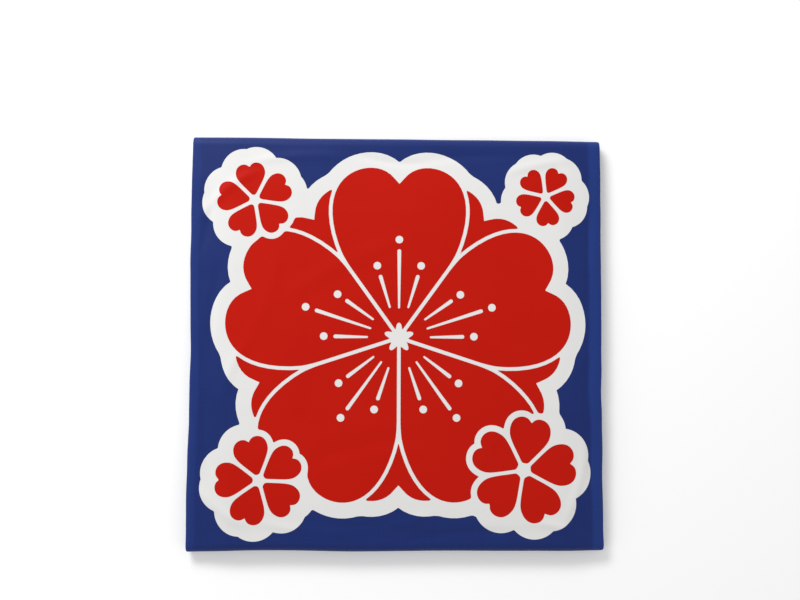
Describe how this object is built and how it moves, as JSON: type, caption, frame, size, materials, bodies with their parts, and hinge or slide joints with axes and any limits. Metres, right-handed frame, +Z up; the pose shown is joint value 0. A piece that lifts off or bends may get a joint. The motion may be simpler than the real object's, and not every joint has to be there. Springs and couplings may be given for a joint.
{
  "type": "folded happi coat",
  "caption": "Festival happi coat folded flat to a square, with the printed middle of its back on top and its belt in the fold.",
  "frame": {"origin": "on the floor, under the middle of the folded square", "axes": "+Z up through the thin stack; +X across the coat, to the right seen from above; +Y towards the shoulder fold"},
  "size_m": [0.27, 0.268, 0.012],
  "materials": {
    "blue_cloth": "thin plain weave, dyed dark blue, with a soft sheen",
    "blue_cloth_inside": "reverse of the dyed plain weave, matt",
    "black_cloth": "black twill, matt"
  },
  "bodies": {
    "root": {"back": "blue_cloth", "hidden_layers": "blue_cloth_inside", "sleeve_left": "blue_cloth", "sleeve_right": "blue_cloth", "collar": "black_cloth", "belt": "black_cloth"}
  },
  "joints": []
}
